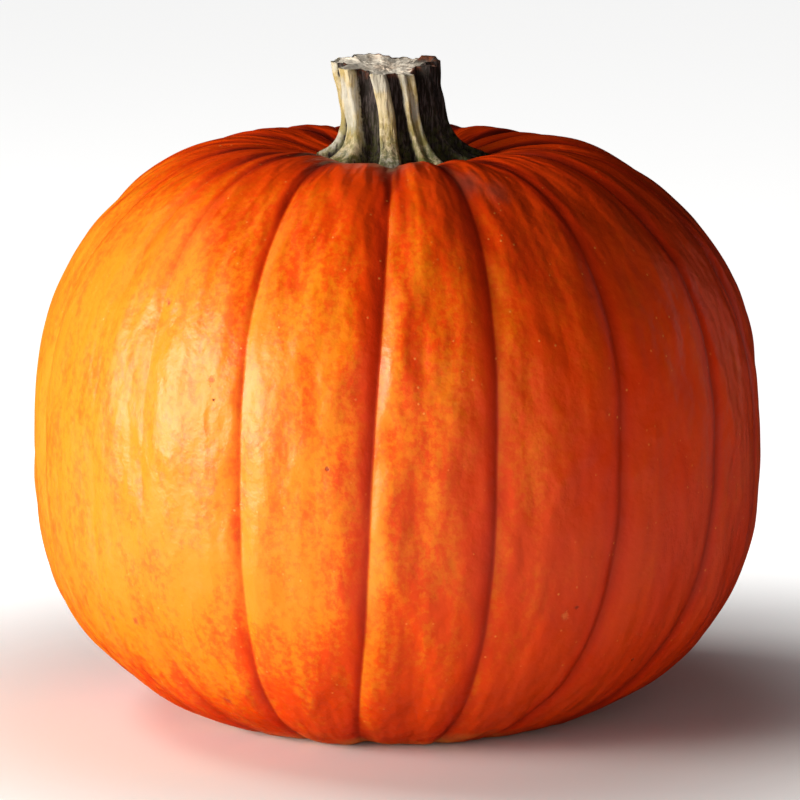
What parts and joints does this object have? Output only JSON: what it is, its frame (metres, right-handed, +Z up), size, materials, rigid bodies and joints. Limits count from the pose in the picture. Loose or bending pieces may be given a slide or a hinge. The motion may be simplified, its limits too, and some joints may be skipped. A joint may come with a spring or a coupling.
{
  "type": "pumpkin",
  "caption": "Ripe orange pumpkin with ribbed sides and a short fluted woody stem, standing upright on its own flattened underside.",
  "frame": {"origin": "on the ground, under the middle of the whole pumpkin", "axes": "+Z up along the stem, +Y from the front to the back, +X to the right seen from the front"},
  "size_m": [0.27, 0.262, 0.2435],
  "materials": {
    "rind": "satin",
    "stem_wood": "matte"
  },
  "bodies": {
    "root": {"fruit": "rind", "stem": "stem_wood"}
  },
  "joints": []
}
